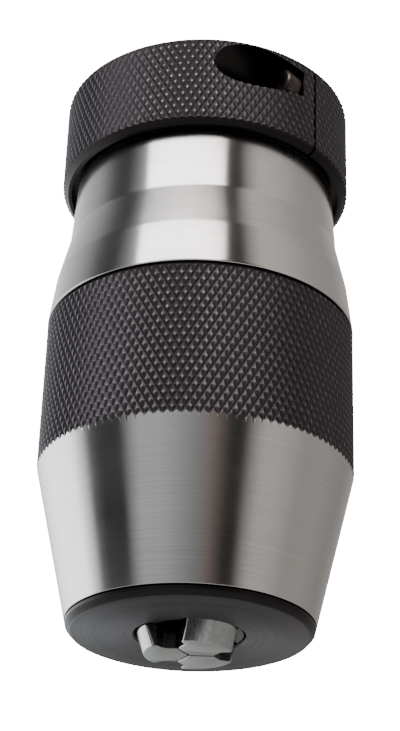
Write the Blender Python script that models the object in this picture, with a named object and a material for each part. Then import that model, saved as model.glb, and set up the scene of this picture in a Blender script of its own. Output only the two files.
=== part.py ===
"""A self-tightening (keyless) drill chuck, 50 mm across, for shanks of up to 13 mm on a B16 taper.

It hangs nose down. +Z points up, towards the machine spindle, and the origin is the centre of the
mouth of the taper socket. Heights below are measured up from the flat face of the nose, because the
chuck is turned from that end, and one empty at the nose face carries every piece.

How it works: the body stays still with the machine. The hood, the upper sleeve, the nose cap and the
jaw guide turn together around it on a ball thrust bearing. Turning them screws the spindle along the
body's left-hand thread, and the spindle's T-slots draw the three jaws up and outwards.
"""

from math import asin, cos, pi, radians, sin, tan

import bmesh
import bpy
from mathutils import Vector

MM = 0.001
FULL_TURN = 2 * pi

# The whole chuck.
LENGTH = 93.3 * MM
GAP = 0.3 * MM
CLEARANCE = 0.5 * MM
OUTER_R = 25.0 * MM

# Nose cap and the cone of the hood.
NOSE_FACE_R = 18.2 * MM
NOSE_RIM_R = 19.0 * MM
NOSE_RIM_HEIGHT = 1.33 * MM
NOSE_SPIGOT_R = 13.5 * MM
NOSE_SPIGOT_TOP = 5.0 * MM
CONE_TOP = 26.5 * MM
HOOD_TOP = 50.8 * MM
HOOD_CHAMFER = 0.5 * MM
HOOD_BORE_R = 22.3 * MM

# Jaws. Their backs slope outwards at the angle of the guide's slots.
JAW_COUNT = 3
FIRST_JAW_ANGLE = 60
JAW_SLOPE = tan(radians(20))
JAW_TIP = -3.0 * MM
JAW_TOP = 18.2 * MM
JAW_BACK_R = 6.9 * MM
JAW_HALF_WIDTH = 4.2 * MM
JAW_FACE_HALF_WIDTH = 3.1 * MM
JAW_EDGE = 0.17 * MM
JAW_STEP_START = 4.0 * MM
JAW_STEP_END = 4.9 * MM
JAW_TRAVEL = 17.5 * MM

# The T-shaped stud on top of each jaw, and the spindle head that carries it.
STUD_INNER_R = 2.6 * MM
STUD_OUTER_R = 5.4 * MM
STUD_NECK_HALF_WIDTH = 1.5 * MM
STUD_BAR_HALF_WIDTH = 2.5 * MM
STUD_NECK_TOP = 20.2 * MM
STUD_TOP = 22.0 * MM
HEAD_R = 12.0 * MM
HEAD_BOTTOM = 18.5 * MM
HEAD_TOP = 24.5 * MM
SCREW_R = 6.5 * MM
SCREW_TOP = 49.5 * MM

# Jaw guide: three webs between the jaws, under one ring.
GUIDE_BOTTOM = 0.35 * MM
GUIDE_STEP = 17.9 * MM
GUIDE_LOWER_BORE_R = 6.9 * MM
GUIDE_UPPER_BORE_R = 12.4 * MM
GUIDE_RING_BOTTOM = JAW_TOP + JAW_TRAVEL + CLEARANCE
GUIDE_TOP = 43.5 * MM

# Upper sleeve: three turned bands, given as radius and height of their edges.
SLEEVE_BOTTOM = 51.1 * MM
SLEEVE_BANDS = (
    (25.0 * MM, 51.1 * MM),
    (24.05 * MM, 58.6 * MM),
    (22.3 * MM, 66.3 * MM),
    (21.6 * MM, 77.5 * MM),
)
SLEEVE_TOP = 77.8 * MM
SLEEVE_SPIGOT_BOTTOM = 44.0 * MM
SLEEVE_BORE_R = 19.6 * MM
SLEEVE_SHOULDER = 68.2 * MM
SLEEVE_NECK_R = 14.5 * MM
SEAL_SEAT_R = 18.0 * MM
SEAL_SEAT_HEIGHT = 2.0 * MM

# Body: threaded bore below, bearing flange, stem with the taper socket above.
BODY_BOTTOM = HEAD_TOP + JAW_TRAVEL + CLEARANCE
LOWER_STEM_R = 11.0 * MM
FLANGE_BOTTOM = 55.0 * MM
FLANGE_TOP = 61.0 * MM
FLANGE_R = 18.5 * MM
STEM_R = 14.0 * MM
THREAD_BORE_R = SCREW_R + GAP
THREAD_BORE_TOP = 67.4 * MM
PLUG_SEAT_R = 7.2 * MM
TAPER_MOUTH_R = 15.733 / 2 * MM
TAPER_DEPTH = 24.0 * MM
TAPER_RATIO = 1 / 20.047
STEM_CHAMFER = 0.6 * MM
SPRING_GROOVE_R = 17.3 * MM
SPRING_GROOVE_HEIGHT = 2.0 * MM
SPRING_GROOVE_BOTTOM = 57.0 * MM

# Thrust bearing between the flange and the sleeve's shoulder.
BALL_COUNT = 12
BALL_R = 1.5 * MM
BALL_PITCH_R = 16.9 * MM
RACE_INNER_R = 14.6 * MM
RACE_OUTER_R = 19.2 * MM
RACE_HEIGHT = 1.5 * MM
LOWER_RACE_BOTTOM = FLANGE_TOP + GAP
BALL_CENTRE = LOWER_RACE_BOTTOM + RACE_HEIGHT + GAP + BALL_R
UPPER_RACE_BOTTOM = BALL_CENTRE + BALL_R + GAP
CAGE_INNER_R = 14.4 * MM
CAGE_HEIGHT = 1.6 * MM

# Clamp ring: split at one side, closed by a cap screw that lies along a tangent.
RING_R = 24.3 * MM
RING_BORE_R = 14.3 * MM
RING_BOTTOM = 77.0 * MM
RING_LOWER_CHAMFER = 1.0 * MM
RING_UPPER_CHAMFER = 0.4 * MM
RING_RECESS_R = 22.7 * MM
RING_RECESS_TOP = 78.8 * MM
SLIT_ANGLE = radians(-43)
SLIT_WIDTH = 0.5 * MM
CLAMP_SCREW_R = 20.9 * MM
CLAMP_SCREW_HEIGHT = 89.0 * MM
SCREW_POCKET_R = 3.9 * MM
SCREW_POCKET_WALL = 2.7 * MM
SCREW_HOLE_R = 1.8 * MM
SCREW_HOLE_END = 8.0 * MM

# The M3 cap screw itself.
CAP_HEAD_R = 2.75 * MM
CAP_HEAD_HEIGHT = 3.0 * MM
CAP_SHANK_R = 1.5 * MM
CAP_SHANK_END = 7.0 * MM
CAP_EDGE = 0.3 * MM
HEX_WIDTH = 2.5 * MM
HEX_DEPTH = 1.5 * MM

# How finely round pieces are turned.
OUTER_STEPS = 64
INNER_STEPS = 40
SMALL_STEPS = 24
SMOOTH_ANGLE = radians(30)
MERGE_DISTANCE = 0.5e-6


def clear_scene():
    for thing in list(bpy.data.objects):
        bpy.data.objects.remove(thing, do_unlink=True)


def material(name, colour, roughness, metallic):
    made = bpy.data.materials.new(name)
    made.use_nodes = True
    shader = made.node_tree.nodes["Principled BSDF"]
    shader.inputs["Base Color"].default_value = (*colour, 1.0)
    shader.inputs["Roughness"].default_value = roughness
    shader.inputs["Metallic"].default_value = metallic
    return made


def make_materials():
    return {
        "satin_steel": material("satin_steel", (0.62, 0.61, 0.60), 0.30, 1.0),
        "black_steel": material("black_steel", (0.04, 0.037, 0.037), 0.40, 1.0),
        "grey_steel": material("grey_steel", (0.17, 0.17, 0.18), 0.42, 1.0),
        "ground_steel": material("ground_steel", (0.55, 0.55, 0.56), 0.25, 1.0),
        "alloy_steel": material("alloy_steel", (0.45, 0.45, 0.46), 0.30, 1.0),
        "bearing_steel": material("bearing_steel", (0.70, 0.70, 0.72), 0.12, 1.0),
        "brass": material("brass", (0.70, 0.50, 0.22), 0.35, 1.0),
        "rubber": material("rubber", (0.02, 0.02, 0.02), 0.80, 0.0),
        "spring_steel": material("spring_steel", (0.35, 0.35, 0.38), 0.35, 1.0),
    }


def finish_mesh(name, shape):
    """Closes a bmesh into a named mesh with its faces pointing out and its sharp edges marked."""
    bmesh.ops.remove_doubles(shape, verts=shape.verts, dist=MERGE_DISTANCE)
    bmesh.ops.recalc_face_normals(shape, faces=shape.faces)
    mesh = bpy.data.meshes.new(name)
    shape.to_mesh(mesh)
    shape.free()
    mesh.shade_smooth()
    mesh.set_sharp_from_angle(angle=SMOOTH_ANGLE)
    return mesh


def turned_mesh(name, outline, steps):
    """Spins an outline of (radius, height) points once round Z.

    An outline that starts and ends on the axis is left open; any other one is closed into a ring.
    """
    shape = bmesh.new()
    corners = [shape.verts.new((radius, 0, height)) for radius, height in outline]
    for start, end in zip(corners, corners[1:]):
        shape.edges.new((start, end))
    on_axis = outline[0][0] == 0 and outline[-1][0] == 0
    if not on_axis:
        shape.edges.new((corners[-1], corners[0]))
    bmesh.ops.spin(
        shape,
        geom=shape.verts[:] + shape.edges[:],
        cent=(0, 0, 0),
        axis=(0, 0, 1),
        angle=FULL_TURN,
        steps=steps,
        use_merge=True,
    )
    return finish_mesh(name, shape)


def prism_mesh(name, corners, bottom, top):
    """Extrudes an outline of (x, y) points from one height to another."""
    shape = bmesh.new()
    base = shape.faces.new([shape.verts.new((x, y, bottom)) for x, y in corners])
    grown = bmesh.ops.extrude_face_region(shape, geom=[base])
    raised = [item for item in grown["geom"] if isinstance(item, bmesh.types.BMVert)]
    bmesh.ops.translate(shape, verts=raised, vec=(0, 0, top - bottom))
    return finish_mesh(name, shape)


def box_corners(x_low, x_high, half_width):
    return [(x_low, -half_width), (x_high, -half_width), (x_high, half_width), (x_low, half_width)]


def round_corners(radius, steps):
    angles = [i * FULL_TURN / steps for i in range(steps)]
    return [(radius * cos(angle), radius * sin(angle)) for angle in angles]


def place(name, mesh, parent, skin=None, location=(0, 0, 0), turn=0.0):
    """Adds a mesh to the scene as an object under its parent, turned about Z."""
    thing = bpy.data.objects.new(name, mesh)
    thing.parent = parent
    thing.location = location
    thing.rotation_euler = (0, 0, turn)
    bpy.context.scene.collection.objects.link(thing)
    if skin and not mesh.materials:
        mesh.materials.append(skin)
    return thing


def add_empty(name, parent=None, location=(0, 0, 0)):
    empty = bpy.data.objects.new(name, None)
    empty.parent = parent
    empty.location = location
    bpy.context.scene.collection.objects.link(empty)
    return empty


def combine(thing, tool, operation):
    """Adds an exact Boolean of a tool solid, which is kept out of the model itself."""
    tool.hide_render = True
    tool.display_type = "WIRE"
    boolean = thing.modifiers.new(f"{operation.lower()}_{tool.name}", "BOOLEAN")
    boolean.operation = operation
    boolean.solver = "EXACT"
    boolean.object = tool


def cut(thing, tool):
    combine(thing, tool, "DIFFERENCE")


def jaw_angles():
    return [radians(FIRST_JAW_ANGLE + i * 360 / JAW_COUNT) for i in range(JAW_COUNT)]


def cone_r(height):
    """Outer radius of the hood's cone at a height."""
    share = (height - NOSE_RIM_HEIGHT) / (CONE_TOP - NOSE_RIM_HEIGHT)
    return NOSE_RIM_R + share * (OUTER_R - NOSE_RIM_R)


def jaw_back_r(height):
    """Distance from the axis to the back of a jaw, which slopes with its slot."""
    return JAW_BACK_R + (height - JAW_TIP) * JAW_SLOPE


def add_body(parent, skin):
    """The still part: threaded bore, bearing flange and the stem that holds the taper socket."""
    taper_bottom = LENGTH - TAPER_DEPTH
    taper_bottom_r = TAPER_MOUTH_R - TAPER_DEPTH * TAPER_RATIO / 2
    groove_top = SPRING_GROOVE_BOTTOM + SPRING_GROOVE_HEIGHT
    outline = [
        (THREAD_BORE_R, BODY_BOTTOM),
        (LOWER_STEM_R, BODY_BOTTOM),
        (LOWER_STEM_R, FLANGE_BOTTOM),
        (FLANGE_R, FLANGE_BOTTOM),
        (FLANGE_R, SPRING_GROOVE_BOTTOM),
        (SPRING_GROOVE_R, SPRING_GROOVE_BOTTOM),
        (SPRING_GROOVE_R, groove_top),
        (FLANGE_R, groove_top),
        (FLANGE_R, FLANGE_TOP),
        (STEM_R, FLANGE_TOP),
        (STEM_R, LENGTH - STEM_CHAMFER),
        (STEM_R - STEM_CHAMFER, LENGTH),
        (TAPER_MOUTH_R, LENGTH),
        (taper_bottom_r, taper_bottom),
        (PLUG_SEAT_R, taper_bottom),
        (PLUG_SEAT_R, THREAD_BORE_TOP),
        (THREAD_BORE_R, THREAD_BORE_TOP),
    ]
    place("body", turned_mesh("body", outline, INNER_STEPS), parent, skin)


def add_socket_plug(parent, skin):
    """Thin disc that closes the bottom of the taper socket, above the spindle."""
    disc = round_corners(PLUG_SEAT_R - GAP, SMALL_STEPS)
    low = THREAD_BORE_TOP + GAP
    high = LENGTH - TAPER_DEPTH - GAP
    place("socket_plug", prism_mesh("socket_plug", disc, low, high), parent, skin)


def add_drag_spring(parent, skin):
    """Split spring ring that drags on the sleeve, so that it doesn't spin loose."""
    low = SPRING_GROOVE_BOTTOM + GAP
    high = SPRING_GROOVE_BOTTOM + SPRING_GROOVE_HEIGHT - GAP
    inner = SPRING_GROOVE_R + GAP
    outer = SLEEVE_BORE_R - GAP
    outline = [(inner, low), (outer, low), (outer, high), (inner, high)]
    spring = place("drag_spring", turned_mesh("drag_spring", outline, INNER_STEPS), parent, skin)
    split = prism_mesh("drag_spring_split", box_corners(15 * MM, 21 * MM, 2 * MM), 55 * MM, 61 * MM)
    cut(spring, place("drag_spring_split", split, parent))


def add_bearing(body_parent, bearing_parent, sleeve_parent, race_skin, cage_skin, ball_skin):
    """Ball thrust bearing: two flat races, a cage and its balls."""
    for name, low, parent in (
        ("lower_race", LOWER_RACE_BOTTOM, body_parent),
        ("upper_race", UPPER_RACE_BOTTOM, sleeve_parent),
    ):
        high = low + RACE_HEIGHT
        ring = [(RACE_INNER_R, low), (RACE_OUTER_R, low), (RACE_OUTER_R, high), (RACE_INNER_R, high)]
        place(name, turned_mesh(name, ring, INNER_STEPS), parent, race_skin)

    low = BALL_CENTRE - CAGE_HEIGHT / 2
    high = BALL_CENTRE + CAGE_HEIGHT / 2
    ring = [(CAGE_INNER_R, low), (RACE_OUTER_R, low), (RACE_OUTER_R, high), (CAGE_INNER_R, high)]
    cage = place("ball_cage", turned_mesh("ball_cage", ring, INNER_STEPS), bearing_parent, cage_skin)

    pocket = prism_mesh("ball_pocket", round_corners(BALL_R + GAP, 16), low - GAP, high + GAP)
    ball_shape = bmesh.new()
    bmesh.ops.create_icosphere(ball_shape, subdivisions=2, radius=BALL_R)
    ball = finish_mesh("ball", ball_shape)
    for i in range(BALL_COUNT):
        angle = i * FULL_TURN / BALL_COUNT
        spot = Vector((BALL_PITCH_R * cos(angle), BALL_PITCH_R * sin(angle), 0))
        cut(cage, place(f"ball_pocket_{i + 1:02}", pocket, bearing_parent, None, spot))
        centre = spot + Vector((0, 0, BALL_CENTRE))
        place(f"ball_{i + 1:02}", ball, bearing_parent, ball_skin, centre)


def add_hood(parent, skin):
    """Knurled lower shell: a cone over the jaws, then the wide grip."""
    low = NOSE_RIM_HEIGHT + GAP
    spigot_r = NOSE_SPIGOT_R + GAP
    spigot_top = NOSE_SPIGOT_TOP + GAP
    bore_start = JAW_TIP + (HOOD_BORE_R - JAW_BACK_R - GAP) / JAW_SLOPE
    outline = [
        (spigot_r, low),
        (cone_r(low), low),
        (OUTER_R, CONE_TOP),
        (OUTER_R, HOOD_TOP - HOOD_CHAMFER),
        (OUTER_R - HOOD_CHAMFER / 3, HOOD_TOP),
        (HOOD_BORE_R, HOOD_TOP),
        (HOOD_BORE_R, bore_start),
        (jaw_back_r(spigot_top) + GAP, spigot_top),
        (spigot_r, spigot_top),
    ]
    place("hood", turned_mesh("hood", outline, OUTER_STEPS), parent, skin)


def add_nose_cap(parent, skin):
    """Flat end plate of the hood, with the hole that the jaws come out of."""
    rim_edge = 0.25 * MM
    outline = [
        (jaw_back_r(0) + GAP, 0),
        (NOSE_FACE_R, 0),
        (NOSE_RIM_R - rim_edge / 2, NOSE_RIM_HEIGHT - rim_edge * 2),
        (NOSE_RIM_R, NOSE_RIM_HEIGHT),
        (NOSE_SPIGOT_R, NOSE_RIM_HEIGHT),
        (NOSE_SPIGOT_R, NOSE_SPIGOT_TOP),
        (jaw_back_r(NOSE_SPIGOT_TOP) + GAP, NOSE_SPIGOT_TOP),
    ]
    place("nose_cap", turned_mesh("nose_cap", outline, OUTER_STEPS), parent, skin)


def add_upper_sleeve(parent, skin):
    """Smooth upper shell in three turned bands, over the bearing."""
    spigot_r = HOOD_BORE_R - GAP
    seat = SLEEVE_TOP - SEAL_SEAT_HEIGHT
    outline = [
        (SLEEVE_BORE_R, SLEEVE_SPIGOT_BOTTOM),
        (spigot_r, SLEEVE_SPIGOT_BOTTOM),
        (spigot_r, SLEEVE_BOTTOM),
        *SLEEVE_BANDS,
        (SLEEVE_BANDS[-1][0] - GAP, SLEEVE_TOP),
        (SEAL_SEAT_R, SLEEVE_TOP),
        (SEAL_SEAT_R, seat),
        (SLEEVE_NECK_R, seat),
        (SLEEVE_NECK_R, SLEEVE_SHOULDER),
        (SLEEVE_BORE_R, SLEEVE_SHOULDER),
    ]
    place("upper_sleeve", turned_mesh("upper_sleeve", outline, OUTER_STEPS), parent, skin)


def add_dust_seal(parent, skin):
    """Rubber ring in the top of the sleeve, around the stem."""
    low = SLEEVE_TOP - SEAL_SEAT_HEIGHT + GAP
    inner = STEM_R + GAP
    outer = SEAL_SEAT_R - GAP
    outline = [(inner, low), (outer, low), (outer, SLEEVE_TOP), (inner, SLEEVE_TOP)]
    place("dust_seal", turned_mesh("dust_seal", outline, INNER_STEPS), parent, skin)


def add_jaw_guide(parent, skin):
    """Carrier that holds the jaws in their sloping slots: three webs under one ring."""
    outer_bottom = jaw_back_r(GUIDE_BOTTOM)
    outer_r = HOOD_BORE_R - GAP
    cone_end = JAW_TIP + (outer_r - JAW_BACK_R) / JAW_SLOPE
    outline = [
        (GUIDE_LOWER_BORE_R, GUIDE_BOTTOM),
        (outer_bottom, GUIDE_BOTTOM),
        (outer_r, cone_end),
        (outer_r, GUIDE_TOP),
        (GUIDE_UPPER_BORE_R, GUIDE_TOP),
        (GUIDE_UPPER_BORE_R, GUIDE_STEP),
        (GUIDE_LOWER_BORE_R, GUIDE_STEP),
    ]
    guide = place("jaw_guide", turned_mesh("jaw_guide", outline, INNER_STEPS), parent, skin)
    slot_plan = box_corners(0, 30 * MM, JAW_HALF_WIDTH + GAP)
    slot = prism_mesh("jaw_slot", slot_plan, GUIDE_BOTTOM - MM, GUIDE_RING_BOTTOM)
    for i, angle in enumerate(jaw_angles()):
        cut(guide, place(f"jaw_slot_{i + 1}", slot, parent, turn=angle))


def jaw_mesh():
    """A jaw on the +X side: upright gripping faces, stepped flanks and a back that slopes outwards.

    The back is an arc round the chuck's axis at the tip, and keeps that radius all the way up.
    """
    half_arc = asin(JAW_HALF_WIDTH / JAW_BACK_R)
    back_steps = 6
    back = []
    for i in range(back_steps + 1):
        turn = half_arc * (2 * i / back_steps - 1)
        back.append((JAW_BACK_R * cos(turn), JAW_BACK_R * sin(turn)))
    face_end = JAW_EDGE + JAW_FACE_HALF_WIDTH / tan(radians(60))
    front = [
        (JAW_STEP_END, JAW_HALF_WIDTH),
        (JAW_STEP_START, JAW_FACE_HALF_WIDTH),
        (face_end, JAW_FACE_HALF_WIDTH),
        (JAW_EDGE, 0),
        (face_end, -JAW_FACE_HALF_WIDTH),
        (JAW_STEP_START, -JAW_FACE_HALF_WIDTH),
        (JAW_STEP_END, -JAW_HALF_WIDTH),
    ]
    shape = bmesh.new()
    shift = (JAW_TOP - JAW_TIP) * JAW_SLOPE
    bottom = [shape.verts.new((x, y, JAW_TIP)) for x, y in back + front]
    top = [shape.verts.new((x + shift, y, JAW_TOP)) for x, y in back]
    top += [shape.verts.new((x, y, JAW_TOP)) for x, y in front]
    shape.faces.new(bottom)
    shape.faces.new(top)
    for i in range(len(bottom)):
        after = (i + 1) % len(bottom)
        shape.faces.new((bottom[i], bottom[after], top[after], top[i]))
    return finish_mesh("jaw", shape)


def add_jaws(parent, skin):
    """Three jaws, each with the T-shaped stud that rides in the spindle head."""
    jaw = jaw_mesh()
    overlap = 0.5 * MM
    neck_plan = box_corners(STUD_INNER_R, STUD_OUTER_R, STUD_NECK_HALF_WIDTH)
    neck = prism_mesh("stud_neck", neck_plan, JAW_TOP - overlap, STUD_NECK_TOP + overlap)
    bar_plan = box_corners(STUD_INNER_R, STUD_OUTER_R, STUD_BAR_HALF_WIDTH)
    bar = prism_mesh("stud_bar", bar_plan, STUD_NECK_TOP, STUD_TOP)
    for i, angle in enumerate(jaw_angles()):
        jaw_body = place(f"jaw_{i + 1}", jaw, parent, skin, turn=angle)
        combine(jaw_body, place(f"stud_neck_{i + 1}", neck, parent, turn=angle), "UNION")
        combine(jaw_body, place(f"stud_bar_{i + 1}", bar, parent, turn=angle), "UNION")


def add_spindle(parent, skin):
    """Screw with a slotted head: it rises through the body and carries the jaws."""
    edge = 0.6 * MM
    outline = [
        (0, HEAD_BOTTOM),
        (HEAD_R - edge, HEAD_BOTTOM),
        (HEAD_R, HEAD_BOTTOM + edge),
        (HEAD_R, HEAD_TOP - edge),
        (HEAD_R - edge, HEAD_TOP),
        (SCREW_R, HEAD_TOP),
        (SCREW_R, SCREW_TOP - edge),
        (SCREW_R - edge, SCREW_TOP),
        (0, SCREW_TOP),
    ]
    spindle = place("spindle", turned_mesh("spindle", outline, INNER_STEPS), parent, skin)
    reach = HEAD_R + MM
    neck_plan = box_corners(STUD_INNER_R - GAP, reach, STUD_NECK_HALF_WIDTH + GAP)
    neck = prism_mesh("neck_slot", neck_plan, HEAD_BOTTOM - MM, STUD_NECK_TOP)
    bar_plan = box_corners(STUD_INNER_R - GAP, reach, STUD_BAR_HALF_WIDTH + GAP)
    bar = prism_mesh("bar_slot", bar_plan, STUD_NECK_TOP - GAP, STUD_TOP + GAP)
    for i, angle in enumerate(jaw_angles()):
        cut(spindle, place(f"neck_slot_{i + 1}", neck, parent, turn=angle))
        cut(spindle, place(f"bar_slot_{i + 1}", bar, parent, turn=angle))


def screw_seat():
    """Where the clamp screw crosses the slit, and the turn that points local +Z out of its head."""
    spot = Vector((CLAMP_SCREW_R * cos(SLIT_ANGLE), CLAMP_SCREW_R * sin(SLIT_ANGLE), CLAMP_SCREW_HEIGHT))
    heading = SLIT_ANGLE - pi / 2
    return spot, (0, pi / 2, heading)


def add_clamp_ring(parent, skin):
    """Knurled ring to hold by hand, clamped on the stem by its screw."""
    outline = [
        (RING_RECESS_R, RING_BOTTOM),
        (RING_R - RING_LOWER_CHAMFER, RING_BOTTOM),
        (RING_R, RING_BOTTOM + RING_LOWER_CHAMFER),
        (RING_R, LENGTH - RING_UPPER_CHAMFER),
        (RING_R - RING_UPPER_CHAMFER, LENGTH),
        (RING_BORE_R, LENGTH),
        (RING_BORE_R, RING_RECESS_TOP),
        (RING_RECESS_R, RING_RECESS_TOP),
    ]
    ring = place("clamp_ring", turned_mesh("clamp_ring", outline, OUTER_STEPS), parent, skin)
    slit_plan = box_corners(12 * MM, 30 * MM, SLIT_WIDTH / 2)
    slit = prism_mesh("ring_slit", slit_plan, RING_BOTTOM - MM, LENGTH + MM)
    cut(ring, place("ring_slit", slit, parent, turn=SLIT_ANGLE))
    spot, turn = screw_seat()
    pocket_plan = round_corners(SCREW_POCKET_R, SMALL_STEPS)
    pocket = prism_mesh("screw_pocket", pocket_plan, SCREW_POCKET_WALL, 40 * MM)
    hole_plan = round_corners(SCREW_HOLE_R, SMALL_STEPS)
    hole = prism_mesh("screw_hole", hole_plan, -SCREW_HOLE_END, SCREW_POCKET_WALL + MM)
    for name, mesh in (("screw_pocket", pocket), ("screw_hole", hole)):
        tool = place(name, mesh, parent, location=spot)
        tool.rotation_euler = turn
        cut(ring, tool)


def add_clamp_screw(parent, skin):
    """Socket-head cap screw that pulls the ring's slit shut."""
    head_low = SCREW_POCKET_WALL + GAP
    head_high = head_low + CAP_HEAD_HEIGHT
    outline = [
        (0, -CAP_SHANK_END),
        (CAP_SHANK_R - CAP_EDGE, -CAP_SHANK_END),
        (CAP_SHANK_R, CAP_EDGE - CAP_SHANK_END),
        (CAP_SHANK_R, head_low),
        (CAP_HEAD_R, head_low),
        (CAP_HEAD_R, head_high - CAP_EDGE),
        (CAP_HEAD_R - CAP_EDGE, head_high),
        (0, head_high),
    ]
    spot, turn = screw_seat()
    screw = place("clamp_screw", turned_mesh("clamp_screw", outline, SMALL_STEPS), parent, skin, spot)
    screw.rotation_euler = turn
    hex_plan = round_corners(HEX_WIDTH / 2 / cos(radians(30)), 6)
    hex_mesh = prism_mesh("hex_socket", hex_plan, head_high - HEX_DEPTH, head_high + MM)
    socket = place("hex_socket", hex_mesh, parent, location=spot)
    socket.rotation_euler = turn
    cut(screw, socket)


def main():
    clear_scene()
    skins = make_materials()
    nose = add_empty("nose_face", location=(0, 0, -LENGTH))
    sleeve = add_empty("turning_group", nose)
    bearing = add_empty("bearing_group", nose)
    jaws = add_empty("jaw_group", sleeve)
    add_body(nose, skins["grey_steel"])
    add_socket_plug(nose, skins["grey_steel"])
    add_clamp_ring(nose, skins["black_steel"])
    add_clamp_screw(nose, skins["alloy_steel"])
    add_bearing(nose, bearing, sleeve, skins["bearing_steel"], skins["brass"], skins["bearing_steel"])
    add_upper_sleeve(sleeve, skins["satin_steel"])
    add_hood(sleeve, skins["black_steel"])
    add_nose_cap(sleeve, skins["grey_steel"])
    add_jaw_guide(sleeve, skins["grey_steel"])
    add_dust_seal(sleeve, skins["rubber"])
    add_drag_spring(sleeve, skins["spring_steel"])
    add_spindle(jaws, skins["alloy_steel"])
    add_jaws(jaws, skins["ground_steel"])


main()
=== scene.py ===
from math import atan2, cos, pi, radians, sin, tan

import bmesh
import bpy
from mathutils import Matrix, Vector


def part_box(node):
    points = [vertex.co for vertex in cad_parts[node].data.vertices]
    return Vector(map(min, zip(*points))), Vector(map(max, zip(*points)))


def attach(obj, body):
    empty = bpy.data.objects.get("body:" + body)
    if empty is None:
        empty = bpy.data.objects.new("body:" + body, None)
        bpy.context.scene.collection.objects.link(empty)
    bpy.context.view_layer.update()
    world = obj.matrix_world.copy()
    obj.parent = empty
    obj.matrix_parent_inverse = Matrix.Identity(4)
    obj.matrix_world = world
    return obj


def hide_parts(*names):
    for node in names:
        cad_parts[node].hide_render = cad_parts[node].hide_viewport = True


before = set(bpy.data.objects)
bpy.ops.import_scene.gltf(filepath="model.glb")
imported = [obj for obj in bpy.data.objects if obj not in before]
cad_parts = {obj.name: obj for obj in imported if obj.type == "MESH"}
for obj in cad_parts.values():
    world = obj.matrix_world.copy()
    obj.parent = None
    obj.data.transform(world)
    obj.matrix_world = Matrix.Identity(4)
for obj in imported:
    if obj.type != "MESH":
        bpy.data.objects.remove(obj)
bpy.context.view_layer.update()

MM = 0.001
FULL_TURN = 2 * pi

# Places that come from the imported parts.
HOOD_LOW, HOOD_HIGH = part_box("hood")
RING_LOW, RING_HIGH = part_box("clamp_ring")
NOSE_LOW, NOSE_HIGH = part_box("nose_cap")
SLEEVE_LOW, SLEEVE_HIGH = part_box("upper_sleeve")
NOSE_FACE = NOSE_LOW[2]
HOOD_R = HOOD_HIGH[0]
RING_R = RING_HIGH[0]

# The diamond knurl: pitch round the grip, depth, and the angle of its grooves from the axis.
KNURL_PITCH = 1.36 * MM
KNURL_DEPTH = 0.25 * MM
KNURL_ANGLE = radians(30)
KNURL_FLAT = 0.17
CREST_MARGIN = 0.02 * MM
KNURL_ROW = KNURL_PITCH / 2 / tan(KNURL_ANGLE)

# Hood, in heights above the nose face.
NOSE_FACE_R = 18.2 * MM
NOSE_RIM_R = 19.0 * MM
NOSE_RIM_HEIGHT = 1.33 * MM
CONE_TOP = 26.5 * MM
HOOD_BORE_R = 22.3 * MM
HOOD_SEAT_R = 13.8 * MM
HOOD_SEAT_TOP = 5.3 * MM
KNURL_START = 24.2 * MM
CONE_STOCK = 0.12 * MM
CONE_ROWS = 24
CONE_EDGE = 0.05 * MM
HOOD_CHAMFER = 0.25 * MM
CHAMFER_SKIN_DEPTH = 0.8 * MM
JAW_SLOPE = tan(radians(20))

# End plate: the mouth for the jaws, with its broken edge, and the spigot in the hood.
MOUTH_R = 8.29 * MM
MOUTH_BREAK = 0.35 * MM
MOUTH_BREAK_DEPTH = 0.4 * MM
NOSE_SPIGOT_R = 13.5 * MM
NOSE_EDGE = 0.3 * MM
NOSE_EDGE_HEIGHT = 0.12 * MM
RIM_EDGE = 0.1 * MM
RIM_EDGE_HEIGHT = 0.45 * MM

# Upper sleeve: radius and height of the edges between its turned bands, in millimetres, and its inside.
SLEEVE_BANDS = ((25.0, 51.1), (24.05, 58.6), (22.3, 66.3), (21.6, 77.5))
BAND_ROUND = 0.35 * MM
SEAM_GAP = 0.15 * MM
SEAM_EDGE = 0.1 * MM
SLEEVE_TOP_R = 21.3 * MM
SLEEVE_SPIGOT_R = 22.0 * MM
SLEEVE_BORE_R = 19.6 * MM
SLEEVE_NECK_R = 14.5 * MM
SLEEVE_SHOULDER_DEPTH = 9.6 * MM
SEAL_SEAT_R = 18.0 * MM
SEAL_SEAT_DEPTH = 2.0 * MM

# Clamp ring, its slit and the seat of its screw.
RING_BORE_R = 14.3 * MM
RING_RECESS_R = 22.7 * MM
RING_RECESS_DEPTH = 1.8 * MM
RING_LOWER_CHAMFER = 1.0 * MM
RING_UPPER_CHAMFER = 0.4 * MM
SLIT_ANGLE = radians(-43)
SLIT_WIDTH = 0.5 * MM
SLIT_BLOCK = (18 * MM, SLIT_WIDTH, 30 * MM)
SLIT_MIDDLE = (21 * MM, 0, -8 * MM)
CLAMP_SCREW_R = 20.9 * MM
CLAMP_SCREW_DROP = 4.3 * MM
SCREW_POCKET_R = 3.9 * MM
SCREW_POCKET_WALL = 2.7 * MM
SCREW_POCKET_REACH = 40 * MM
SCREW_HOLE_R = 1.8 * MM
SCREW_HOLE_DEPTH = 8 * MM

# Segments round the smooth turned pieces, and angles in degrees past which an edge stays sharp.
SHELL_STEPS = 192
RING_STEPS = 256
CUT_SHARP = 22
PART_SHARP = 25
JAW_EDGE_BREAK = 0.15 * MM
SCREW_EDGE_BREAK = 0.08 * MM

# The view: distance, height and tilt of the camera, and how long its lens is.
CAMERA_SPOT = (0.15 * MM, -245.7 * MM, NOSE_FACE - 80.2 * MM)
CAMERA_TILT = radians(27.15)
CAMERA_ROLL = 0.034
CAMERA_LENS = 83.62

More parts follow.
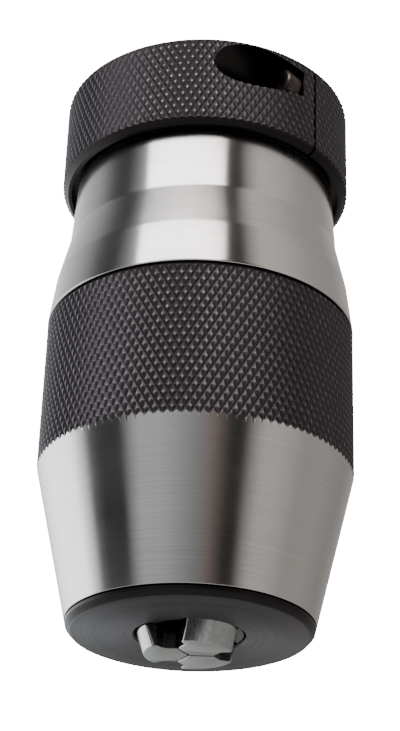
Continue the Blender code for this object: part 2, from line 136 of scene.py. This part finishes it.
# Floor and key light, in metres, degrees and watts.
FLOOR_DROP = 0.36
FLOOR_HALF_SIDE = 0.45
KEY_BEARING = -18
KEY_HEIGHT = 37
KEY_DISTANCE = 0.5
KEY_WIDTH = 0.5
KEY_DEPTH = 0.2
KEY_POWER = 2.1

# The studio: how white the ground looks, and the tints of its cool, warm and rosy cards.
SEEN_WHITE = 20.0
WARM = (1.04, 1.0, 0.96)
COOL = (0.96, 1.0, 1.04)
ROSY = (1.16, 0.94, 0.90)


# ---------------------------------------------------------------- meshes


def turned(outline, steps):
    """Spins an outline of (radius, height above the nose face) once round the axis."""
    shape = bmesh.new()
    corners = [shape.verts.new((radius, 0, NOSE_FACE + height)) for radius, height in outline]
    for start, end in zip(corners, corners[1:]):
        shape.edges.new((start, end))
    if outline[0][0] > 0 or outline[-1][0] > 0:
        shape.edges.new((corners[-1], corners[0]))
    everything = shape.verts[:] + shape.edges[:]
    bmesh.ops.spin(shape, geom=everything, cent=(0, 0, 0), axis=(0, 0, 1), angle=FULL_TURN,
                   steps=steps, use_merge=True)
    bmesh.ops.remove_doubles(shape, verts=shape.verts, dist=1e-7)
    bmesh.ops.recalc_face_normals(shape, faces=shape.faces)
    return shape


def softened(outline, reach):
    """Gives each inner corner of an outline a small round of three points."""
    points = [outline[0]]
    for before, corner, after in zip(outline, outline[1:], outline[2:]):
        here = Vector(corner)
        back = Vector(before) - here
        ahead = Vector(after) - here
        start = here + back.normalized() * min(reach, back.length / 3)
        end = here + ahead.normalized() * min(reach, ahead.length / 3)
        middle = (start + end + here * 2) / 4
        points += [tuple(start), tuple(middle), tuple(end)]
    return points + [outline[-1]]


def piece(name, shape, skins, sharp=30):
    """Turns a bmesh into an object with its materials, smooth but for its sharp edges."""
    mesh = bpy.data.meshes.new(name)
    shape.to_mesh(mesh)
    shape.free()
    for skin in skins:
        mesh.materials.append(skin)
    mesh.shade_smooth()
    mesh.set_sharp_from_angle(angle=radians(sharp))
    thing = bpy.data.objects.new(name, mesh)
    bpy.context.scene.collection.objects.link(thing)
    return thing


def knurled(shape, crest_r, low, high, steps):
    """Cuts a diamond knurl in a turned band: grooves sink, and each diamond keeps a small flat crest.

    The band is a grid, half a diamond to a step. Corners of the grid are crests and groove
    crossings by turns, like the squares of a chessboard.
    """
    step = FULL_TURN / steps
    band = [v for v in shape.verts if Vector(v.co.xy).length > crest_r - 1e-6]
    crossings = set()
    crests = []
    for corner in band:
        around = round(atan2(corner.co.y, corner.co.x) / step)
        row = round((corner.co.z - low) / KNURL_ROW)
        if (around + row) % 2:
            crests.append(corner)
        else:
            crossings.add(corner)
    faces = {face for corner in crossings for face in corner.link_faces}
    for face in faces:
        pair = [corner for corner in face.verts if corner in crossings]
        if len(face.verts) == 4 and len(pair) == 2:
            bmesh.utils.face_split(face, pair[0], pair[1])
    for corner in crossings:
        shrink = (crest_r - KNURL_DEPTH) / crest_r
        corner.co.x *= shrink
        corner.co.y *= shrink
    inner = [v for v in crests if low + KNURL_ROW / 2 < v.co.z < high - KNURL_ROW / 2]
    bmesh.ops.bevel(shape, geom=inner, offset=KNURL_FLAT * KNURL_PITCH, offset_type="OFFSET",
                    affect="VERTICES", segments=1, profile=0.5, material=-1, clamp_overlap=True)
    bmesh.ops.recalc_face_normals(shape, faces=shape.faces)


def knurl_rows(crest_r, low, high):
    """Heights of the grid's rows between two edges, as outline points going up."""
    count = int(round((high - low) / KNURL_ROW))
    return [(crest_r, low + i * KNURL_ROW) for i in range(count + 1)]


def tool(name, shape, skins=()):
    """A solid that shapes another one and is deleted afterwards."""
    mesh = bpy.data.meshes.new(name)
    shape.to_mesh(mesh)
    shape.free()
    for skin in skins:
        mesh.materials.append(skin)
    thing = bpy.data.objects.new(name, mesh)
    bpy.context.scene.collection.objects.link(thing)
    return thing


def shaped_by(thing, *steps):
    """Runs exact Booleans in turn, keeps the result and removes the tools."""
    for operation, cutter in steps:
        boolean = thing.modifiers.new(operation, "BOOLEAN")
        boolean.operation = operation
        boolean.solver = "EXACT"
        boolean.object = cutter
        boolean.material_mode = "TRANSFER"
    bpy.context.view_layer.update()
    result = bpy.data.meshes.new_from_object(thing.evaluated_get(bpy.context.evaluated_depsgraph_get()))
    thing.modifiers.clear()
    thing.data = result
    for _, cutter in steps:
        bpy.data.objects.remove(cutter, do_unlink=True)
    result.shade_smooth()
    result.set_sharp_from_angle(angle=radians(CUT_SHARP))
    return thing


def around_steps(crest_r):
    """Grid steps round a band: two for each diamond."""
    return 2 * round(FULL_TURN * crest_r / KNURL_PITCH)


def make_hood(satin, oxide, smooth):
    """Lower shell. The cone is turned after the knurling, so it cuts the diamonds to a zigzag edge."""
    height = HOOD_HIGH[2] - NOSE_FACE
    low = HOOD_LOW[2] - NOSE_FACE
    cone_gain = (HOOD_R - NOSE_RIM_R) / (CONE_TOP - NOSE_RIM_HEIGHT)

    def cone_r(at):
        return NOSE_RIM_R + (at - NOSE_RIM_HEIGHT) * cone_gain

    rows = knurl_rows(HOOD_R, KNURL_START, height - 0.2 * MM)
    bore_start = (HOOD_BORE_R - MOUTH_R) / JAW_SLOPE
    outline = [
        (HOOD_SEAT_R, low),
        (cone_r(low) + CONE_STOCK, low),
        (cone_r(KNURL_START - MM) + CONE_STOCK, KNURL_START - MM),
        *rows,
        (HOOD_R - 2 * KNURL_DEPTH, height),
        (HOOD_BORE_R, height),
        (HOOD_BORE_R, bore_start),
        (MOUTH_R + HOOD_SEAT_TOP * JAW_SLOPE, HOOD_SEAT_TOP),
        (HOOD_SEAT_R, HOOD_SEAT_TOP),
    ]
    steps = around_steps(HOOD_R)
    shape = turned(outline, steps)
    knurled(shape, HOOD_R, NOSE_FACE + KNURL_START, NOSE_FACE + rows[-1][1], steps)
    hood = piece("hood_shell", shape, [oxide])
    over = HOOD_R + CREST_MARGIN
    top = height - CREST_MARGIN
    cone_start = low + CONE_EDGE
    cone_end = NOSE_RIM_HEIGHT + (over - NOSE_RIM_R) / cone_gain
    cone_rows = [cone_start + (cone_end - cone_start) * i / CONE_ROWS for i in range(CONE_ROWS + 1)]
    envelope = [
        (0, low - MM / 100),
        (cone_r(low) - CONE_EDGE, low - MM / 100),
        *[(cone_r(at), at) for at in cone_rows],
        (over, top - HOOD_CHAMFER),
        (HOOD_R - HOOD_CHAMFER, top),
        (0, top),
    ]
    lathe = tool("hood_envelope", turned(envelope, 2 * steps), [satin, smooth])
    for face in lathe.data.polygons:
        face.material_index = int(face.center.z > NOSE_FACE + height - CHAMFER_SKIN_DEPTH)
    shaped_by(hood, ("INTERSECT", lathe))
    return finished(hood, "sleeve", "hood")


def finished(thing, body, *nodes):
    """Rides a piece on its body, in place of the parts that it shows."""
    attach(thing, body)
    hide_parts(*nodes)
    return thing


def cylinder(radius, low, high, sides=48):
    """A closed cylinder round the axis, between two heights."""
    shape = bmesh.new()
    bmesh.ops.create_cone(shape, cap_ends=True, segments=sides, radius1=radius, radius2=radius,
                          depth=high - low)
    bmesh.ops.translate(shape, verts=shape.verts, vec=(0, 0, (low + high) / 2))
    return shape


def screw_frame():
    """Turns a shape built along +Z onto the clamp screw's axis, with +Z out of its head."""
    spot = Vector((CLAMP_SCREW_R * cos(SLIT_ANGLE), CLAMP_SCREW_R * sin(SLIT_ANGLE), -CLAMP_SCREW_DROP))
    heading = Matrix.Rotation(SLIT_ANGLE - pi / 2, 4, "Z") @ Matrix.Rotation(pi / 2, 4, "Y")
    return Matrix.Translation(spot) @ heading


def make_ring(oxide, smooth):
    """Clamp ring with its knurl, chamfers, slit, screw pocket and screw hole."""
    low = RING_LOW[2] - NOSE_FACE
    high = RING_HIGH[2] - NOSE_FACE
    first = low - KNURL_ROW / 3
    count = int((high - first) / KNURL_ROW) + 1
    rows = [(RING_R, first + i * KNURL_ROW) for i in range(count + 1)]
    outline = [(RING_BORE_R, first), *rows, (RING_BORE_R, rows[-1][1])]
    steps = around_steps(RING_R)
    shape = turned(outline, steps)
    knurled(shape, RING_R, NOSE_FACE + first, NOSE_FACE + rows[-1][1], steps)
    ring = piece("ring_shell", shape, [oxide])
    over = RING_R + CREST_MARGIN
    envelope = [
        (RING_BORE_R - MM, low + RING_RECESS_DEPTH),
        (RING_RECESS_R, low + RING_RECESS_DEPTH),
        (RING_RECESS_R, low),
        (RING_R - RING_LOWER_CHAMFER, low),
        (over, low + RING_LOWER_CHAMFER),
        (over, high - RING_UPPER_CHAMFER),
        (RING_R - RING_UPPER_CHAMFER, high),
        (RING_BORE_R - MM, high),
    ]
    lathe = tool("ring_envelope", turned(envelope, RING_STEPS), [smooth])
    slit = bmesh.new()
    bmesh.ops.create_cube(slit, size=1)
    bmesh.ops.scale(slit, verts=slit.verts, vec=SLIT_BLOCK)
    bmesh.ops.translate(slit, verts=slit.verts, vec=SLIT_MIDDLE)
    bmesh.ops.rotate(slit, verts=slit.verts, matrix=Matrix.Rotation(SLIT_ANGLE, 3, "Z"))
    pocket = cylinder(SCREW_POCKET_R, SCREW_POCKET_WALL, SCREW_POCKET_REACH, 96)
    hole = cylinder(SCREW_HOLE_R, -SCREW_HOLE_DEPTH, SCREW_POCKET_WALL + MM)
    for shape in (pocket, hole):
        bmesh.ops.transform(shape, matrix=screw_frame(), verts=shape.verts)
    shaped_by(
        ring,
        ("INTERSECT", lathe),
        ("DIFFERENCE", tool("pocket", pocket, [smooth])),
        ("DIFFERENCE", tool("hole", hole, [smooth])),
        ("DIFFERENCE", tool("slit", slit, [smooth])),
    )
    return finished(ring, "body", "clamp_ring")


def make_sleeve(satin):
    """Upper shell: three turned bands over the bearing, each edge broken by the tool's radius."""
    outer = [(radius * MM, height * MM) for radius, height in SLEEVE_BANDS]
    top = SLEEVE_HIGH[2] - NOSE_FACE
    low = SLEEVE_LOW[2] - NOSE_FACE
    seam = HOOD_HIGH[2] - NOSE_FACE + SEAM_GAP
    edge = (outer[0][0] - SEAM_EDGE, seam)
    outer[0] = (outer[0][0], seam + SEAM_EDGE)
    bands = softened([edge, *outer, (SLEEVE_TOP_R, top)], BAND_ROUND)
    outline = [
        (SLEEVE_BORE_R, low),
        (SLEEVE_SPIGOT_R, low),
        (SLEEVE_SPIGOT_R, seam),
        *bands,
        (SEAL_SEAT_R, top),
        (SEAL_SEAT_R, top - SEAL_SEAT_DEPTH),
        (SLEEVE_NECK_R, top - SEAL_SEAT_DEPTH),
        (SLEEVE_NECK_R, top - SLEEVE_SHOULDER_DEPTH),
        (SLEEVE_BORE_R, top - SLEEVE_SHOULDER_DEPTH),
    ]
    sleeve = piece("sleeve_shell", turned(outline, SHELL_STEPS), [satin])
    return finished(sleeve, "sleeve", "upper_sleeve")


def make_nose(dark, smooth):
    """End plate: black rim, turned face, and a broken edge round the mouth."""
    high = NOSE_HIGH[2] - NOSE_FACE
    outline = [
        (MOUTH_R + high * JAW_SLOPE, high),
        (MOUTH_R + MOUTH_BREAK_DEPTH * JAW_SLOPE, MOUTH_BREAK_DEPTH),
        (MOUTH_R + MOUTH_BREAK, 0),
        (NOSE_FACE_R - NOSE_EDGE, 0),
        (NOSE_FACE_R, NOSE_EDGE_HEIGHT),
        (NOSE_RIM_R - RIM_EDGE, NOSE_RIM_HEIGHT - RIM_EDGE_HEIGHT),
        (NOSE_RIM_R, NOSE_RIM_HEIGHT),
        (NOSE_SPIGOT_R, NOSE_RIM_HEIGHT),
        (NOSE_SPIGOT_R, high),
    ]
    nose = piece("nose_plate", turned(outline, SHELL_STEPS), [dark, smooth])
    for face in nose.data.polygons:
        face.material_index = int(Vector(face.center.xy).length > NOSE_FACE_R - RIM_EDGE)
    return finished(nose, "sleeve", "nose_cap")


def refined(node, name, body, skin, edge):
    """A merged copy of a part with its hard edges broken by a small bevel."""
    shape = bmesh.new()
    shape.from_mesh(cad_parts[node].data)
    bmesh.ops.remove_doubles(shape, verts=shape.verts, dist=1e-6)
    bmesh.ops.dissolve_limit(shape, angle_limit=radians(1), verts=shape.verts, edges=shape.edges)
    bmesh.ops.recalc_face_normals(shape, faces=shape.faces)
    limit = radians(PART_SHARP)
    hard = [e for e in shape.edges if len(e.link_faces) == 2 and e.calc_face_angle() > limit]
    bmesh.ops.bevel(shape, geom=hard, offset=edge, offset_type="OFFSET", affect="EDGES", segments=2,
                    profile=0.5, material=-1, clamp_overlap=True)
    bmesh.ops.triangulate(shape, faces=[f for f in shape.faces if len(f.verts) > 4])
    bmesh.ops.recalc_face_normals(shape, faces=shape.faces)
    return finished(piece(name, shape, [skin], PART_SHARP), body, node)


# ---------------------------------------------------------------- materials


def linear(code):
    """An sRGB hex colour as linear values."""
    values = [int(code[i:i + 2], 16) / 255 for i in (1, 3, 5)]
    return (*[v / 12.92 if v <= 0.04045 else ((v + 0.055) / 1.055) ** 2.4 for v in values], 1.0)


def add(tree, kind, settings=None, links=None):
    """Adds a node, with its settings and with values or other nodes' outputs on its inputs."""
    made = tree.nodes.new(kind)
    for name, value in (settings or {}).items():
        setattr(made, name, value)
    for name, value in (links or {}).items():
        if isinstance(value, bpy.types.NodeSocket):
            tree.links.new(value, made.inputs[name])
        else:
            made.inputs[name].default_value = value
    return made


def metal(name, colour, roughness):
    """A metal's Principled shader, with its own constant values."""
    made = bpy.data.materials.new(name)
    made.use_nodes = True
    tree = made.node_tree
    shader = tree.nodes["Principled BSDF"]
    shader.inputs["Base Color"].default_value = linear(colour)
    shader.inputs["Metallic"].default_value = 1.0
    shader.inputs["Roughness"].default_value = roughness
    return made, tree, shader


def place_and_radius(tree):
    """Object position, and distance from the chuck's axis."""
    spot = add(tree, "ShaderNodeTexCoord").outputs["Object"]
    parts = add(tree, "ShaderNodeSeparateXYZ", None, {"Vector": spot})
    flat = add(tree, "ShaderNodeVectorMath", {"operation": "MULTIPLY"}, {0: spot, 1: (1, 1, 0)})
    radius = add(tree, "ShaderNodeVectorMath", {"operation": "LENGTH"}, {0: flat.outputs[0]})
    return spot, parts, radius.outputs["Value"]


def lathe_marks(tree, pitch):
    """Noise that is drawn out round the axis, as a cutting tool leaves it, one ring to a pitch."""
    spot, parts, radius = place_and_radius(tree)
    across = add(tree, "ShaderNodeMath", {"operation": "MULTIPLY"}, {0: radius, 1: 1 / pitch})
    along = add(tree, "ShaderNodeMath", {"operation": "MULTIPLY"}, {0: parts.outputs["Z"], 1: 1 / pitch})
    sweep = add(tree, "ShaderNodeMath", {"operation": "MULTIPLY"}, {0: parts.outputs["X"], 1: 35.0})
    rings = add(tree, "ShaderNodeCombineXYZ", None,
                {"X": across.outputs[0], "Y": along.outputs[0], "Z": sweep.outputs[0]})
    fine = add(tree, "ShaderNodeTexNoise", None,
               {"Vector": rings.outputs[0], "Scale": 1.0, "Detail": 3.0, "Roughness": 0.6})
    broad = add(tree, "ShaderNodeTexNoise", None, {"Vector": spot, "Scale": 90.0, "Detail": 2.0})
    return fine.outputs["Fac"], broad.outputs["Fac"]


def ranged(tree, value, low, high, start=0.3, end=0.7):
    """A value mapped from one range to another; a noise value runs from about 0.3 to 0.7."""
    made = add(tree, "ShaderNodeMapRange", None,
               {"Value": value, "From Min": start, "From Max": end, "To Min": low, "To Max": high})
    return made.outputs["Result"]


def turned_metal(name, colours, roughness, pitch, depth):
    """Metal as it leaves the lathe. Fine rings round the axis stretch its highlights lengthwise."""
    made, tree, shader = metal(name, colours[0], roughness)
    fine, broad = lathe_marks(tree, pitch)
    tint = add(tree, "ShaderNodeMix", {"data_type": "RGBA"},
               {"Factor": ranged(tree, fine, 0, 1), 6: linear(colours[0]), 7: linear(colours[1])})
    both = add(tree, "ShaderNodeMath", {"operation": "ADD"},
               {0: ranged(tree, fine, -0.02, 0.03),
                1: ranged(tree, broad, roughness - 0.03, roughness + 0.04)})
    bump = add(tree, "ShaderNodeBump", None, {"Height": fine, "Strength": 0.6, "Distance": depth})
    tree.links.new(tint.outputs[2], shader.inputs["Base Color"])
    tree.links.new(both.outputs[0], shader.inputs["Roughness"])
    tree.links.new(bump.outputs["Normal"], shader.inputs["Normal"])
    shader.inputs["Anisotropic"].default_value = 0.7
    shader.inputs["Anisotropic Rotation"].default_value = 0.25
    tangent = add(tree, "ShaderNodeTangent", {"direction_type": "RADIAL", "axis": "Z"})
    tree.links.new(tangent.outputs["Tangent"], shader.inputs["Tangent"])
    return made


def knurled_oxide(name, crest_r):
    """Black oxide on knurled steel, lighter towards the crest radius: near black in the grooves, which is
    oxide with painted shade, and light on the crests, which is metal rubbed bare with a painted
    highlight.
    """
    made, tree, shader = metal(name, "#2f2b2b", 0.42)
    spot, _, radius = place_and_radius(tree)
    grip = add(tree, "ShaderNodeTexNoise", None, {"Vector": spot, "Scale": 700.0, "Detail": 2.0})
    # Radius mask: the crests get rubbed-bare wear plus a painted highlight, the grooves oxide plus
    # painted shade.
    crest = ranged(tree, radius, 0, 1, crest_r - 0.12 * MM, crest_r - 0.01 * MM)
    patchy = ranged(tree, grip.outputs["Fac"], 0.15, 1.0)
    crest_wear_and_highlight = add(tree, "ShaderNodeMath", {"operation": "MULTIPLY"}, {0: crest, 1: patchy})
    # Groove colour holds painted shade, crest colour a painted highlight over the worn metal.
    tint = add(tree, "ShaderNodeMix", {"data_type": "RGBA"},
               {"Factor": crest_wear_and_highlight.outputs[0], 6: linear("#423d40"), 7: linear("#938c92")})
    grain = add(tree, "ShaderNodeTexNoise", None, {"Vector": spot, "Scale": 9000.0, "Detail": 2.0})
    bump = add(tree, "ShaderNodeBump", None,
               {"Height": grain.outputs["Fac"], "Strength": 0.35, "Distance": 0.02 * MM})
    tree.links.new(tint.outputs[2], shader.inputs["Base Color"])
    tree.links.new(ranged(tree, crest_wear_and_highlight.outputs[0], 0.46, 0.32, 0, 1), shader.inputs["Roughness"])
    tree.links.new(bump.outputs["Normal"], shader.inputs["Normal"])
    return made


def smooth_oxide():
    """Black oxide on turned steel: an even, oily black with a dull sheen."""
    made, tree, shader = metal("black_oxide_turned", "#2a2727", 0.38)
    fine, broad = lathe_marks(tree, 0.3 * MM)
    tint = add(tree, "ShaderNodeMix", {"data_type": "RGBA"},
               {"Factor": ranged(tree, fine, 0, 1), 6: linear("#262323"), 7: linear("#312d2d")})
    bump = add(tree, "ShaderNodeBump", None, {"Height": fine, "Strength": 0.5, "Distance": 0.004 * MM})
    tree.links.new(tint.outputs[2], shader.inputs["Base Color"])
    tree.links.new(ranged(tree, broad, 0.34, 0.44), shader.inputs["Roughness"])
    tree.links.new(bump.outputs["Normal"], shader.inputs["Normal"])
    return made


def ground_metal(name, colours, roughness, pitch):
    """Ground metal: fine straight scratches along the part, and a slightly uneven sheen."""
    made, tree, shader = metal(name, colours[0], roughness)
    spot = add(tree, "ShaderNodeTexCoord").outputs["Object"]
    drawn = add(tree, "ShaderNodeMapping", None, {"Vector": spot, "Scale": (1 / pitch, 1 / pitch, 300)})
    marks = add(tree, "ShaderNodeTexNoise", None,
                {"Vector": drawn.outputs[0], "Scale": 1.0, "Detail": 3.0})
    tint = add(tree, "ShaderNodeMix", {"data_type": "RGBA"},
               {"Factor": ranged(tree, marks.outputs["Fac"], 0, 1),
                6: linear(colours[0]), 7: linear(colours[1])})
    bump = add(tree, "ShaderNodeBump", None,
               {"Height": marks.outputs["Fac"], "Strength": 0.4, "Distance": 0.01 * MM})
    tree.links.new(tint.outputs[2], shader.inputs["Base Color"])
    tree.links.new(ranged(tree, marks.outputs["Fac"], roughness - 0.05, roughness + 0.08),
                   shader.inputs["Roughness"])
    tree.links.new(bump.outputs["Normal"], shader.inputs["Normal"])
    return made


def nitrile_rubber():
    """Moulded nitrile: matt black with a faint bloom."""
    made, tree, shader = metal("nitrile_rubber_moulded", "#161616", 0.75)
    shader.inputs["Metallic"].default_value = 0.0
    spot = add(tree, "ShaderNodeTexCoord").outputs["Object"]
    bloom = add(tree, "ShaderNodeTexNoise", None, {"Vector": spot, "Scale": 800.0, "Detail": 3.0})
    tint = add(tree, "ShaderNodeMix", {"data_type": "RGBA"},
               {"Factor": ranged(tree, bloom.outputs["Fac"], 0, 1),
                6: linear("#131313"), 7: linear("#242322")})
    tree.links.new(tint.outputs[2], shader.inputs["Base Color"])
    return made


def dress(nodes, skin):
    """Gives carried-over parts a material."""
    for node in nodes:
        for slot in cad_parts[node].material_slots:
            slot.material = skin


# ---------------------------------------------------------------- surroundings


# Cards round the chuck: a bearing in degrees, 0 at the front and growing to the right, and how bright
# the cards are there. One set stands level with the chuck, one hangs above it and one lies below it.
# Upwards and downwards they fade into each other between two slopes of the line of sight.
UPPER_FADE = (0.25, 0.55)
LOWER_FADE = (-0.24, -0.14)
ROSY_END = 25
LEVEL_CARDS = (
    (-180, 0.50), (-168, 0.80), (-150, 2.50), (-125, 3.80), (-100, 3.50), (-91, 1.60), (-82, 0.16),
    (-73, 0.05), (-55, 0.05), (-47, 0.45), (-41, 0.70), (-25, 0.66), (-12, 0.50), (0, 0.35),
    (11, 0.24), (19, 0.11), (25, 0.03), (33, 0.03), (40, 0.36), (49, 0.70), (64, 0.63), (82, 0.44),
    (103, 0.46), (131, 0.35), (160, 0.38), (180, 0.50),
)
UPPER_CARDS = (
    (-180, 1.20), (-165, 1.40), (-140, 0.90), (-113, 0.50), (-92, 0.12), (-75, 0.06), (-63, 0.35),
    (-50, 0.80), (8, 0.75), (18, 0.25), (24, 0.06), (32, 0.06), (40, 0.45), (50, 0.82), (71, 0.72),
    (95, 0.50), (128, 0.42), (160, 0.60), (180, 1.20),
)
LOWER_CARDS = (
    (-180, 0.53), (-150, 1.60), (-120, 2.20), (-95, 1.80), (-80, 0.60), (-60, 0.20), (-40, 0.12),
    (0, 0.05), (36, 0.05), (50, 0.25), (58, 0.50), (75, 0.52), (110, 0.45), (150, 0.50), (180, 0.53),
)


def card_light(tree, share, cards):
    """Colour of a ring of cards, from the share of a full turn that a bearing lies at."""
    ramp = add(tree, "ShaderNodeValToRGB", None, {"Fac": share})
    stops = ramp.color_ramp.elements
    brightest = max(level for _, level in cards)
    for i, (degrees, level) in enumerate(cards):
        at = degrees / 360 + 0.5
        stop = stops[i] if i < 2 else stops.new(at)
        stop.position = at
        if degrees <= 0:
            tint = COOL
        else:
            tint = ROSY if degrees < ROSY_END else WARM
        stop.color = (*[level / brightest * part for part in tint], 1)
    lit = add(tree, "ShaderNodeVectorMath", {"operation": "SCALE"},
              {0: ramp.outputs["Color"], "Scale": brightest})
    return lit.outputs[0]


def make_world():
    """Soft studio: pale and dark cards that show only as reflections, and a white ground behind."""
    world = bpy.data.worlds.new("studio")
    bpy.context.scene.world = world
    world.use_nodes = True
    tree = world.node_tree
    shade = tree.nodes["Background"]
    spot = add(tree, "ShaderNodeTexCoord").outputs["Generated"]
    way = add(tree, "ShaderNodeSeparateXYZ", None, {"Vector": spot})
    front = add(tree, "ShaderNodeMath", {"operation": "MULTIPLY"}, {0: way.outputs["Y"], 1: -1.0})
    bearing = add(tree, "ShaderNodeMath", {"operation": "ARCTAN2"},
                  {0: way.outputs["X"], 1: front.outputs[0]})
    share = ranged(tree, bearing.outputs[0], 0, 1, -pi, pi)
    rise = ranged(tree, way.outputs["Z"], 0, 1, *UPPER_FADE)
    upper = add(tree, "ShaderNodeMix", {"data_type": "RGBA"},
                {"Factor": rise, 6: card_light(tree, share, LEVEL_CARDS),
                 7: card_light(tree, share, UPPER_CARDS)})
    sink = ranged(tree, way.outputs["Z"], 1, 0, *LOWER_FADE)
    lit = add(tree, "ShaderNodeMix", {"data_type": "RGBA"},
              {"Factor": sink, 6: upper.outputs[2], 7: card_light(tree, share, LOWER_CARDS)})
    seen = add(tree, "ShaderNodeLightPath").outputs["Is Camera Ray"]
    chosen = add(tree, "ShaderNodeMix", {"data_type": "RGBA"},
                 {"Factor": seen, 6: lit.outputs[2], 7: (SEEN_WHITE, SEEN_WHITE, SEEN_WHITE, 1)})
    tree.links.new(chosen.outputs[2], shade.inputs["Color"])


def make_floor():
    """A plain pale floor, well below the hanging chuck."""
    shape = bmesh.new()
    bmesh.ops.create_grid(shape, x_segments=1, y_segments=1, size=FLOOR_HALF_SIDE)
    bmesh.ops.translate(shape, verts=shape.verts, vec=(0, 0, NOSE_FACE - FLOOR_DROP))
    pale = bpy.data.materials.new("pale_floor")
    pale.use_nodes = True
    shader = pale.node_tree.nodes["Principled BSDF"]
    shader.inputs["Base Color"].default_value = linear("#e8e8e8")
    shader.inputs["Roughness"].default_value = 0.9
    piece("floor", shape, [pale])


def make_key_light():
    """A soft light in a wide box, in front of the chuck and above it."""
    lamp = bpy.data.lights.new("key", "AREA")
    lamp.energy = KEY_POWER
    lamp.shape = "RECTANGLE"
    lamp.size = KEY_WIDTH
    lamp.size_y = KEY_DEPTH
    rise = radians(KEY_HEIGHT)
    ahead = Vector((0, -cos(rise), sin(rise)))
    spot = Matrix.Rotation(radians(KEY_BEARING), 3, "Z") @ ahead * KEY_DISTANCE
    thing = bpy.data.objects.new("key", lamp)
    thing.location = spot
    aim = Vector((0, 0, NOSE_FACE / 2)) - spot
    thing.rotation_euler = aim.to_track_quat("-Z", "Y").to_euler()
    bpy.context.scene.collection.objects.link(thing)


def make_camera():
    """Camera below and in front of the chuck, looking up at it."""
    camera = bpy.data.objects.new("camera", bpy.data.cameras.new("camera"))
    camera.data.lens = CAMERA_LENS
    camera.data.sensor_width = 36
    camera.data.clip_start = 0.01
    tilt = Matrix.Rotation(pi / 2 + CAMERA_TILT, 4, "X") @ Matrix.Rotation(CAMERA_ROLL, 4, "Z")
    camera.matrix_world = Matrix.Translation(CAMERA_SPOT) @ tilt
    bpy.context.scene.collection.objects.link(camera)
    bpy.context.scene.camera = camera


def main():
    """Materials, surroundings, then every piece."""
    satin = turned_metal("carbon_steel_satin_turned", ("#c9c6c3", "#bfbcb9"), 0.18, 0.20 * MM, 0.002 * MM)
    nose_dark = turned_metal("carbon_steel_oxide_turned", ("#4b4a4b", "#3f3e3f"), 0.40, 0.35 * MM,
                             0.008 * MM)
    hood_oxide = knurled_oxide("black_oxide_knurled_hood", HOOD_R)
    ring_oxide = knurled_oxide("black_oxide_knurled_ring", RING_R)
    black = smooth_oxide()
    jaw_steel = ground_metal("alloy_steel_ground", ("#a9aaaa", "#979796"), 0.16, 0.25 * MM)
    screw_steel = ground_metal("alloy_steel_machined", ("#a3a2a3", "#8a898a"), 0.30, 0.3 * MM)
    screw_black = ground_metal("alloy_steel_black_oxide", ("#5a504c", "#3f3836"), 0.28, 0.3 * MM)
    polished = ground_metal("bearing_steel_polished", ("#d8d8da", "#c6c6c9"), 0.12, 0.5 * MM)
    brass = turned_metal("brass_turned", ("#c39a55", "#a8823f"), 0.33, 0.3 * MM, 0.006 * MM)
    blued = ground_metal("spring_steel_blued", ("#3d4353", "#2d3240"), 0.30, 0.3 * MM)
    make_camera()
    make_world()
    make_floor()
    make_key_light()
    make_hood(satin, hood_oxide, black)
    make_ring(ring_oxide, black)
    make_sleeve(satin)
    make_nose(nose_dark, black)
    for i in (1, 2, 3):
        refined(f"jaw_{i}", f"jaw_{i}_ground", f"jaw_{i}", jaw_steel, JAW_EDGE_BREAK)
    refined("clamp_screw", "clamp_screw_black", "body", screw_black, SCREW_EDGE_BREAK)
    dress(["body", "socket_plug", "jaw_guide"], nose_dark)
    dress(["spindle"], screw_steel)
    dress(["lower_race", "upper_race"] + [f"ball_{i:02}" for i in range(1, 13)], polished)
    dress(["ball_cage"], brass)
    dress(["drag_spring"], blued)
    dress(["dust_seal"], nitrile_rubber())


main()
